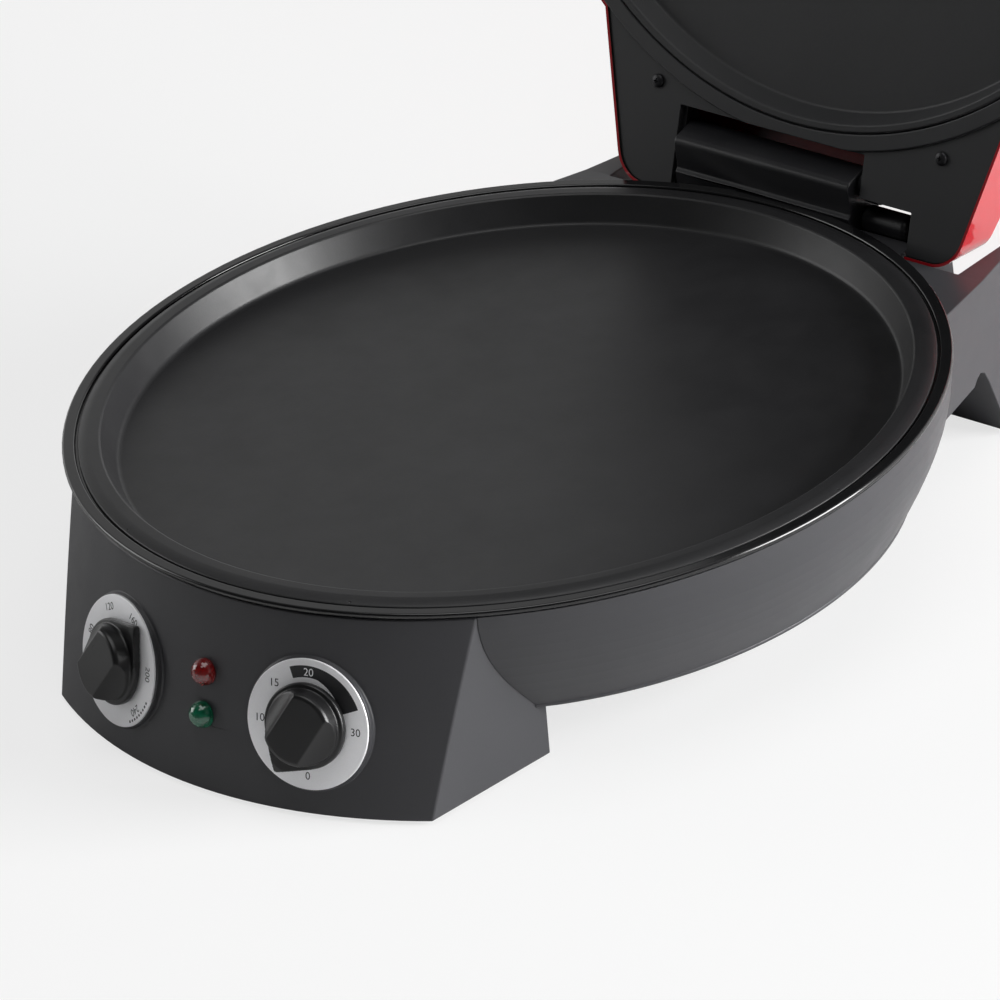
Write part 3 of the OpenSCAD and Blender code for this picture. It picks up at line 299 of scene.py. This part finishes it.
ceramic = finish(
    "switch_ceramic", (0.62, 0.59, 0.51), 0.5, drift=0.06, handling=0.06, grain_size=0.7, relief=0.02)
for body in ("thermal_fuse", "terminal_block", "thermostat", "timer_clock", "pilot_lamps"):
    rounded(body, ceramic, 0.25)


# Screws: small pan heads with a cross recess, zinc plated, and blackened where they show on
# the lid's panel. Each is set where the construction has its screw.

def turned(profile, segments=32):
    """A mesh turned about Z from (radius, height) pairs, closed where the radius is nought"""
    shape = bmesh.new()
    rings = []
    for radius, height in profile:
        count = 1 if radius < 1e-9 else segments
        turns = [2 * math.pi * i / segments for i in range(count)]
        rings.append([shape.verts.new((radius * math.cos(t), radius * math.sin(t), height)) for t in turns])
    for lower, upper in zip(rings, rings[1:]):
        for i in range(segments):
            corners = [lower[i % len(lower)], lower[(i + 1) % len(lower)],
                       upper[(i + 1) % len(upper)], upper[i % len(upper)]]
            corners = list(dict.fromkeys(corners))
            if len(corners) > 2:
                shape.faces.new(corners)
    for face in shape.faces:
        face.smooth = True
    bmesh.ops.recalc_face_normals(shape, faces=shape.faces)
    return shape


def islands(node):
    """The separate solids of a node, each as an array of its points, in the same order each run"""
    shape = welded(node)
    left = set(shape.verts)
    found = []
    while left:
        front = [left.pop()]
        solid = []
        while front:
            vert = front.pop()
            solid.append(tuple(vert.co))
            near = {edge.other_vert(vert) for edge in vert.link_edges} & left
            left -= near
            front.extend(near)
        found.append(np.array(sorted(solid)))
    shape.free()
    return sorted(found, key=lambda points: (tuple(np.round(points.mean(axis=0), 5)), tuple(points[0])))


rim_share = 0.98


def round_axis(points):
    """Middle and axis of a round solid, and each point's place along it and distance from it"""
    low, high = points.min(axis=0), points.max(axis=0)
    middle = points.mean(axis=0)
    values, vectors = np.linalg.eigh(np.cov((points - middle).T))
    odd = 0 if values[1] - values[0] > values[2] - values[1] else 2
    axis = vectors[:, odd]
    along = (points - middle) @ axis
    across = np.linalg.norm(points - middle - np.outer(along, axis), axis=1)
    widest = along[across > across.max() * rim_share].mean()
    if widest < (along.min() + along.max()) / 2:
        axis, along = -axis, -along
    return middle, axis, along, across


def screw_mesh(head_r, head_h, shank_r, length):
    """A pan-head screw with its outer face at z = 0, its shank towards -Z and a cross recess"""
    crown, crown_end = 0.35, 1.1
    profile = [(0, 0)] + [
        (head_r * math.sin(a), -head_h * crown * (1 - math.cos(a)) / (1 - math.cos(crown_end)))
        for a in np.linspace(0.25, crown_end, 5)]
    profile += [(head_r * 0.97, -head_h * 0.5), (head_r, -head_h * 0.72), (head_r, -head_h),
                (shank_r, -head_h), (shank_r, -length + shank_r * 0.5), (shank_r * 0.5, -length),
                (0, -length)]
    screw = as_piece("screw_blank", turned(profile))
    cross = bmesh.new()
    arm_size = Matrix.Diagonal((head_r * 1.15, head_r * 0.24, head_h * 1.1, 1))
    taper = 0.45
    for turn in (0, 90):
        arm = bmesh.ops.create_cube(
            cross, size=1, matrix=Matrix.Rotation(math.radians(turn), 4, "Z") @ arm_size)
        for vert in arm["verts"]:
            if vert.co.z < 0:
                vert.co.x *= taper
                vert.co.y *= taper
    cutter = as_piece("screw_recess", cross)
    for blank in (screw, cutter):
        bpy.context.scene.collection.objects.link(blank)
    cut = screw.modifiers.new("recess", "BOOLEAN")
    cut.object = cutter
    cut.operation = "DIFFERENCE"
    cut.use_self = True
    bpy.context.view_layer.update()
    mesh = bpy.data.meshes.new_from_object(screw.evaluated_get(bpy.context.evaluated_depsgraph_get()))
    for blank in (screw, cutter):
        bpy.data.objects.remove(blank)
    return mesh


blackened = finish(
    "blackened_steel", (0.02, 0.02, 0.022), 0.38, drift=0.15, handling=0.08, grain_size=0.5, relief=0.01,
    Metallic=0.6)


head_depth = 2.2 * mm


def set_screws(node, material):
    """Every screw of a node as a detailed one, joined into one piece"""
    joined = bmesh.new()
    for points in islands(node):
        middle, axis, along, across = round_axis(points)
        head_r = across.max()
        shank_r = across[along < along.max() - head_depth].max()
        head_h = along.max() - along[across > head_r * rim_share].min()
        mesh = screw_mesh(head_r, head_h, shank_r, along.max() - along.min())
        turn = Vector(axis).to_track_quat("Z", "Y").to_matrix().to_4x4()
        mesh.transform(Matrix.Translation(Vector(middle + axis * along.max())) @ turn)
        joined.from_mesh(mesh)
        bpy.data.meshes.remove(mesh)
    piece = as_piece(node + "_heads", joined)
    dress(piece, material, node)
    piece.data.set_sharp_from_angle(angle=math.radians(35))


for screws in ("rim_screws", "cover_screws", "housing_screws", "lower_plate_screws", "upper_plate_screws",
               "hinge_block_screws", "lug_screws", "handle_screws"):
    set_screws(screws, zinc)
set_screws("lid_screws", blackened)


# Dials: rings of satin silver sheet stuck on the panel's bosses, printed in black. On the timer a dark
# field is drawn in the same ink over its top right, with one figure left silver in it. The left one counts
# heat and the right one minutes.

def dial_plane(joint, node):
    """Matrix of a dial: +Z out of the panel, +Y up the panel, origin on the dial's face"""
    turning = next(j for j in frame["joints"] if j["name"] == joint)
    out = -Vector(turning["axis"]).normalized()
    up = (Vector((0, 0, 1)) - out * out.z).normalized()
    side = up.cross(out)
    centre = Vector(turning["pos_m"])
    face = max((vert.co - centre).dot(out) for vert in frame["nodes"][node].data.vertices)
    turn = Matrix((side, up, out)).transposed().to_4x4()
    return Matrix.Translation(centre + out * face) @ turn


def around(radius, clock):
    """Point at a clockwise angle from the top, in degrees"""
    return Vector((radius * math.sin(math.radians(clock)), radius * math.cos(math.radians(clock)), 0))


def arc_patch(shape, clocks, inner, outer):
    """A flat patch between two radii, each a pair for the two ends, as it goes round"""
    steps = max(2, int(abs(clocks[1] - clocks[0]) / 3))
    rows = []
    for i in range(steps + 1):
        share = i / steps
        clock = clocks[0] + (clocks[1] - clocks[0]) * share
        rows.append([shape.verts.new(around(r[0] + (r[1] - r[0]) * share, clock)) for r in (inner, outer)])
    for a, b in zip(rows, rows[1:]):
        shape.faces.new((a[0], a[1], b[1], b[0]))


def figure(shape, text, at, height, turn=0):
    """Plain figures, laid flat and centred on a point"""
    curve = bpy.data.curves.new("figure", "FONT")
    curve.body = text
    curve.size = height
    curve.align_x = "CENTER"
    curve.align_y = "CENTER"
    holder = bpy.data.objects.new("figure", curve)
    bpy.context.scene.collection.objects.link(holder)
    bpy.context.view_layer.update()
    mesh = bpy.data.meshes.new_from_object(holder.evaluated_get(bpy.context.evaluated_depsgraph_get()))
    mesh.transform(Matrix.Translation(at) @ Matrix.Rotation(math.radians(turn), 4, "Z"))
    shape.from_mesh(mesh)
    bpy.data.objects.remove(holder)
    bpy.data.meshes.remove(mesh)


dial_r = 25 * mm
dial_hole_r = 9.2 * mm
dial_t = 0.8 * mm
edge = 0.3 * mm
silver = finish(
    "dial_silver", (0.90, 0.90, 0.92), 0.36, drift=0.04, handling=0.05, grain_size=0.35, relief=0.006,
    Metallic=0.2, Specular_IOR_Level=0.6)
ink = finish(
    "dial_ink", (0.012, 0.012, 0.014), 0.5, drift=0.1, handling=0.05, grain_size=0.4, relief=0.003)
ink_lift = 0.03 * mm
figure_r = 20.4 * mm
dials = {"temperature_dial": "temperature_turn", "timer_dial": "timer_turn"}
planes = {node: dial_plane(joint, node) for node, joint in dials.items()}
for node, plane in planes.items():
    ring = turned([
        (dial_hole_r, -dial_t), (dial_r, -dial_t), (dial_r, -edge), (dial_r - edge * 0.3, -edge * 0.3),
        (dial_r - edge, 0), (dial_hole_r, 0), (dial_hole_r, -dial_t)], 128)
    bmesh.ops.remove_doubles(ring, verts=ring.verts, dist=0.001 * mm)
    ring.transform(plane)
    ring_piece = dress(as_piece(node + "_ring", ring), silver, node)
    ring_piece.data.set_sharp_from_angle(angle=math.radians(50))

heat_print = bmesh.new()
heat_marks = {225: "0", 285: "80", 333: "120", 21: "160", 84: "200", 135: "240"}
for clock, text in heat_marks.items():
    figure(heat_print, text, around(figure_r, clock), 4.0 * mm, -clock)
tick_first, tick_step, tick_width = 150, 4.5, 2.4
tick_inner, tick_outer = 22.8 * mm, 23.7 * mm
for step in range(9):
    clock = tick_first - tick_step * step
    arc_patch(heat_print, (clock, clock - tick_width), (tick_inner, tick_inner), (tick_outer, tick_outer))
timer_print = bmesh.new()
minutes_first, minutes_step, minutes_dark = 180, 45.4, 4
bright_print = bmesh.new()
for step in range(7):
    clock = minutes_first + minutes_step * step
    under = bright_print if step == minutes_dark else timer_print
    figure(under, str(5 * step), around(figure_r - 0.6 * mm, clock), 4.2 * mm)
# Dark wedge drawn in the ink over the timer ring's top right, the figure at minutes_dark left silver in it
field_inner, field_outer, field_tip = 17.9 * mm, 22.4 * mm, 14.4 * mm
arc_patch(timer_print, (-19, 13), (field_inner, field_inner), (field_outer, field_outer))
arc_patch(timer_print, (13, 69), (field_inner, field_tip), (field_outer, field_outer))
for node, name, printed, pigment, lift in (
        ("temperature_dial", "temperature_print", heat_print, ink, ink_lift),
        ("timer_dial", "timer_print", timer_print, ink, ink_lift),
        ("timer_dial", "timer_bright_print", bright_print, silver, 2 * ink_lift)):
    printed.transform(planes[node] @ Matrix.Translation((0, 0, lift)))
    bmesh.ops.recalc_face_normals(printed, faces=printed.faces)
    print_piece = as_piece(name, printed)
    print_piece.data.materials.append(pigment)
    bpy.context.scene.collection.objects.link(print_piece)
    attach(print_piece, "base")


# Knobs and shafts: each knob is a black moulding with a pointed bar, pushed on a steel
# shaft. A thin nut behind it clamps the switch to the panel.

knob_black = finish(
    "knob_black", (0.006, 0.006, 0.0065), 0.34, drift=0.15, handling=0.08, grain_size=0.6, relief=0.006,
    Specular_IOR_Level=0.5)


def softened(node, material, cell, passes):
    """A moulded piece remeshed in even cells and eased, so that every edge runs out in a round"""
    piece = as_piece(node + "_moulding", welded(node))
    cells = piece.modifiers.new("cells", "REMESH")
    cells.mode = "VOXEL"
    cells.voxel_size = cell * mm
    cells.use_smooth_shade = True
    ease = piece.modifiers.new("ease", "SMOOTH")
    ease.factor = 0.5
    ease.iterations = passes
    dress(piece, material, node)


for knob in ("temperature_knob", "timer_knob"):
    softened(knob, knob_black, 0.3, 5)
for turned_part in ("temperature_shaft", "timer_shaft", "control_nuts"):
    rounded(turned_part, zinc, 0.15, steps=1)


# Pilot lenses: small domed jewels of tinted clear plastic, clipped into the panel over
# their lamps, the red one above the green one.

def jewel(name, tone):
    """Tinted clear plastic with a polished face"""
    return finish(name, tone, 0.12, drift=0.05, handling=0.02, grain_size=3, relief=0.002,
                  Coat_Weight=1.0, Coat_Roughness=0.05, Transmission_Weight=0.35, IOR=1.49)


lens_tones = {"red_lens": (0.26, 0.008, 0.008), "green_lens": (0.004, 0.19, 0.09)}
for lens, tone in lens_tones.items():
    keep(lens, jewel(lens + "_plastic", tone))


# Hinge: a black block on the rear housing carries a steel pin, and the lid's two lugs turn
# on it. A spring clip and a spacer hold them, and a sleeve leads the wires to the lid.

grained_black = finish(
    "grained_black", (0.027, 0.0275, 0.029), 0.46, drift=0.1, handling=0.05, grain_size=0.4, relief=0.02,
    Specular_IOR_Level=0.45)
hinge_black = finish(
    "hinge_black", (0.014, 0.014, 0.016), 0.34, drift=0.12, handling=0.06, grain_size=0.5, relief=0.01,
    Specular_IOR_Level=0.5)
rounded("hinge_block", hinge_black, 0.5, steps=3)
for sleeve in ("hinge_spacer", "wire_conduit", "cord_gland"):
    rounded(sleeve, hinge_black, 0.3)
for lug in ("left_lug", "right_lug"):
    rounded(lug, hinge_black, 0.3)
for steel in ("hinge_pin", "hinge_clip"):
    rounded(steel, zinc, 0.2)


# Lid shell: a deep drawn dome with a boxed tail, enamelled in glossy red and lacquered over,
# its inside coloured near black as painted shade for its dark hollow. The lid frame closes it from below.

enamel_red = finish(
    "enamel_red", (0.40, 0.006, 0.013), 0.32, drift=0.03, handling=0.01, grain_size=1.8, relief=0.002,
    Specular_IOR_Level=0.2, Coat_Weight=1.0, Coat_Roughness=0.04)
# Near black for the shell's inside: painted shade, so the hollow reads dark through the hinge notch
shell_inside_shade = finish(
    "shell_inside_painted_shade", (0.012, 0.011, 0.011), 0.7, drift=0.2, handling=0.08, grain_size=1.2, relief=0.02,
    Specular_IOR_Level=0.2)
hinge = next(joint for joint in frame["joints"] if joint["name"] == "lid_hinge")
hinge_pin_at = Vector(hinge["pos_m"])
shut = (Matrix.Translation(hinge_pin_at)
        @ Matrix.Rotation(math.radians(hinge["range_deg"][1]), 4, Vector(hinge["axis"]))
        @ Matrix.Translation(-hinge_pin_at))
ring_low, ring_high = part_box("trim_ring")
lid_axis_y = (ring_low.y + ring_high.y) / 2


def from_axis(point):
    """Distance of a point of the shut lid from the dome's axis"""
    return math.hypot(point.x, point.y - lid_axis_y)


def dome_outline(points):
    """Radii and heights of the dome's outer face: the upper hull of its front half's points"""
    seen = sorted((round(from_axis(p), 6), p.z) for p in points if p.y < lid_axis_y + 1 * mm)
    hull = []
    for r, z in seen:
        while hull and (hull[-1][1] <= z if len(hull) < 2 else
                        (hull[-1][0] - hull[-2][0]) * (z - hull[-2][1])
                        >= (hull[-1][1] - hull[-2][1]) * (r - hull[-2][0])):
            hull.pop()
        hull.append((r, z))
    return np.array(hull).T


def faired(piece):
    """The tail's roof runs into the dome: whatever stands proud of the dome is drawn down on it"""
    shape = bmesh.new()
    shape.from_mesh(piece.data)
    bmesh.ops.transform(shape, matrix=shut, verts=shape.verts)
    shape.normal_update()
    radii, heights = dome_outline([v.co for v in shape.verts])
    crown, wall = 150 * mm, 2.2 * mm
    near, on_dome = 0.02 * mm, 0.1 * mm
    seam_half, seam_weld = 3.5 * mm, 2.6 * mm

    def dome_z(v):
        return np.interp(from_axis(v.co), radii, heights)

    def reach(v):
        outside = sum(face.normal.z * face.calc_area() for face in v.link_faces) > 0
        return dome_z(v) if outside else dome_z(v) - wall

    def proud(v):
        return from_axis(v.co) < crown and v.co.z > reach(v) + near

    long_edges = [
        e for e in shape.edges if proud(e.verts[0]) and proud(e.verts[1]) and e.calc_length() > 20 * mm]
    bmesh.ops.subdivide_edges(shape, edges=long_edges, cuts=48)
    drawn = {v: reach(v) for v in shape.verts if proud(v)}
    for v, height in drawn.items():
        v.co.z = height
    front = min(v.co.y for v in drawn)
    seam = [v for v in shape.verts if abs(v.co.y - front) < seam_half and from_axis(v.co) < crown
            and abs(v.co.z - dome_z(v)) < on_dome]
    bmesh.ops.remove_doubles(shape, verts=seam, dist=seam_weld)
    bmesh.ops.dissolve_degenerate(shape, edges=shape.edges, dist=0.01 * mm)
    bmesh.ops.transform(shape, matrix=shut.inverted(), verts=shape.verts)
    shape.to_mesh(piece.data)
    shape.free()
    piece.data.set_sharp_from_angle(angle=math.radians(28))


shell = rounded("lid_shell", enamel_red, 0)
faired(shell)
shell.data.materials.append(shell_inside_shade)
shell_low, shell_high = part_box("lid_shell")
block_low, block_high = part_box("hinge_block")
dome_middle = (shell_low + shell_high) / 2
tail_middle = dome_middle.lerp((block_low + block_high) / 2, 0.7)
walls = BVHTree.FromPolygons([v.co for v in shell.data.vertices], [f.vertices for f in shell.data.polygons])
# Faces turned into the shell take the near-black finish: painted shade for the hollow
for face in shell.data.polygons:
    for inside in (dome_middle, tail_middle):
        sight = face.center - inside
        met = walls.ray_cast(inside, sight)
        if met[0] is not None and abs(met[3] - sight.length) < 0.5 * mm:
            face.material_index = 1


# Lid frame: the black grained moulding that closes the shell from below and holds the
# upper plate, with a notch for the hinge.

rounded("lid_frame", grained_black, 0.3)


# Upper plate: cast aluminium under the same non-stick coat, a flat dish that leaves room
# over the lower plate and meets its rim.

upper_coat = finish(
    "upper_nonstick", (0.027, 0.0275, 0.029), 0.5, drift=0.1, handling=0.04, grain_size=0.9, relief=0.02,
    Specular_IOR_Level=0.45)
rounded("upper_plate", upper_coat, 0.25)


# Handle: a curved grip on two arms, moulded in black plastic, with well rounded edges. It is
# screwed on from inside the lid.

rounded("handle", knob_black, 1.4, steps=4)


# Floor and light: a white studio sweep in a room that is dim in front and overhead, with a
# broad lamp behind on the right and softer ones above and on the left.

floor_size = 8.0
floor_mesh = bpy.data.meshes.new("floor")
floor_shape = bmesh.new()
bmesh.ops.create_grid(floor_shape, x_segments=1, y_segments=1, size=floor_size / 2)
floor_shape.to_mesh(floor_mesh)
floor_shape.free()
floor = bpy.data.objects.new("floor", floor_mesh)
bpy.context.scene.collection.objects.link(floor)
floor_white = bpy.data.materials.new("floor_white")
floor_white.use_nodes = True
tree = floor_white.node_tree
paper = tree.nodes["Principled BSDF"]
paper.inputs["Base Color"].default_value = (0.86, 0.86, 0.86, 1)
paper.inputs["Roughness"].default_value = 0.9
paper.inputs["Specular IOR Level"].default_value = 0.1
glow = tree.nodes.new("ShaderNodeEmission")
glow.inputs["Strength"].default_value = 1.0
path = tree.nodes.new("ShaderNodeLightPath")
floor_glow = 0.72
seen = arithmetic(tree, "MULTIPLY", path.outputs["Is Camera Ray"], floor_glow)
mixed = tree.nodes.new("ShaderNodeMixShader")
tree.links.new(seen, mixed.inputs["Fac"])
tree.links.new(paper.outputs["BSDF"], mixed.inputs[1])
tree.links.new(glow.outputs["Emission"], mixed.inputs[2])
tree.links.new(mixed.outputs["Shader"], tree.nodes["Material Output"].inputs["Surface"])
floor_mesh.materials.append(floor_white)

world = bpy.data.worlds.new("studio")
bpy.context.scene.world = world
world.use_nodes = True
tree = world.node_tree
sky = tree.nodes["Background"]
path = tree.nodes.new("ShaderNodeLightPath")
shown = arithmetic(tree, "MAXIMUM", path.outputs["Is Camera Ray"], arithmetic(
    tree, "MAXIMUM", path.outputs["Is Glossy Ray"], path.outputs["Is Transmission Ray"]))
sky_fill = 0.28
level = arithmetic(tree, "ADD", sky_fill, arithmetic(tree, "MULTIPLY", shown, 1 - sky_fill))
way = tree.nodes.new("ShaderNodeTexCoord")


def wall_of_room(towards, dark_at, bright_at, darkest):
    """Brightness of the studio's walls along one direction"""
    along = tree.nodes.new("ShaderNodeVectorMath")
    along.operation = "DOT_PRODUCT"
    along.inputs[1].default_value = towards
    tree.links.new(way.outputs["Generated"], along.inputs[0])
    room = tree.nodes.new("ShaderNodeMapRange")
    room.inputs["From Min"].default_value = dark_at
    room.inputs["From Max"].default_value = bright_at
    room.inputs["To Min"].default_value = darkest
    tree.links.new(along.outputs["Value"], room.inputs["Value"])
    return room.outputs["Result"]


lit = arithmetic(
    tree, "MULTIPLY", wall_of_room((-0.2, 0.98, 0), -0.4, 0.25, 0.1), wall_of_room((0, 0, 1), 0.6, 0.15, 0.2))
lit = arithmetic(tree, "MAXIMUM", lit, path.outputs["Is Camera Ray"])
tree.links.new(arithmetic(tree, "MULTIPLY", level, lit), sky.inputs["Strength"])
sky.inputs["Color"].default_value = (1, 1, 1, 1)


def lamp(name, place, aim, size, watts):
    """A square soft box that points at a place"""
    data = bpy.data.lights.new(name, "AREA")
    data.shape = "SQUARE"
    data.size = size
    data.energy = watts
    holder = bpy.data.objects.new(name, data)
    holder.location = place
    holder.rotation_euler = (Vector(aim) - Vector(place)).to_track_quat("-Z", "Y").to_euler()
    bpy.context.scene.collection.objects.link(holder)


aim = (0, 0, 0.1)
lamp("right_box", (2.1, 0.9, 0.7), aim, 1.4, 115)
lamp("top_box", (0.2, -0.2, 2.3), aim, 1.6, 15)
lamp("left_box", (-2.0, -0.9, 0.9), aim, 1.2, 11)


# Camera: a very long lens from above the front right, tipped to one side as the photograph
# is. It looks just past the target by the pan and tilt.

target = Vector((0, -71.1, 70)) * mm
azimuth, elevation, distance = 44.49, 28.11, 3798.7 * mm
pan, tilt, roll = 0.14, 0.52, -7.94
lens_mm, sensor_mm = 360.8, 36.0


def heading(around_z, above):
    """Unit vector from the target towards a viewer"""
    turned_by, raised = math.radians(around_z), math.radians(above)
    return Vector((
        math.sin(turned_by) * math.cos(raised), -math.cos(turned_by) * math.cos(raised), math.sin(raised)))


camera_data = bpy.data.cameras.new("camera")
camera_data.sensor_width = sensor_mm
camera_data.lens = lens_mm
camera_data.clip_start = 0.1
camera_data.clip_end = 50
camera = bpy.data.objects.new("camera", camera_data)
bpy.context.scene.collection.objects.link(camera)
bpy.context.scene.camera = camera
backward = heading(azimuth + pan, elevation + tilt)
level_right = (-backward).cross(Vector((0, 0, 1))).normalized()
level_up = level_right.cross(-backward)
tip = math.radians(roll)
right = level_right * math.cos(tip) + level_up * math.sin(tip)
up = level_up * math.cos(tip) - level_right * math.sin(tip)
camera.matrix_world = Matrix.Translation(target + heading(azimuth, elevation) * distance) @ Matrix(
    (right, up, backward)).transposed().to_4x4()

bpy.context.scene.view_settings.view_transform = "Standard"
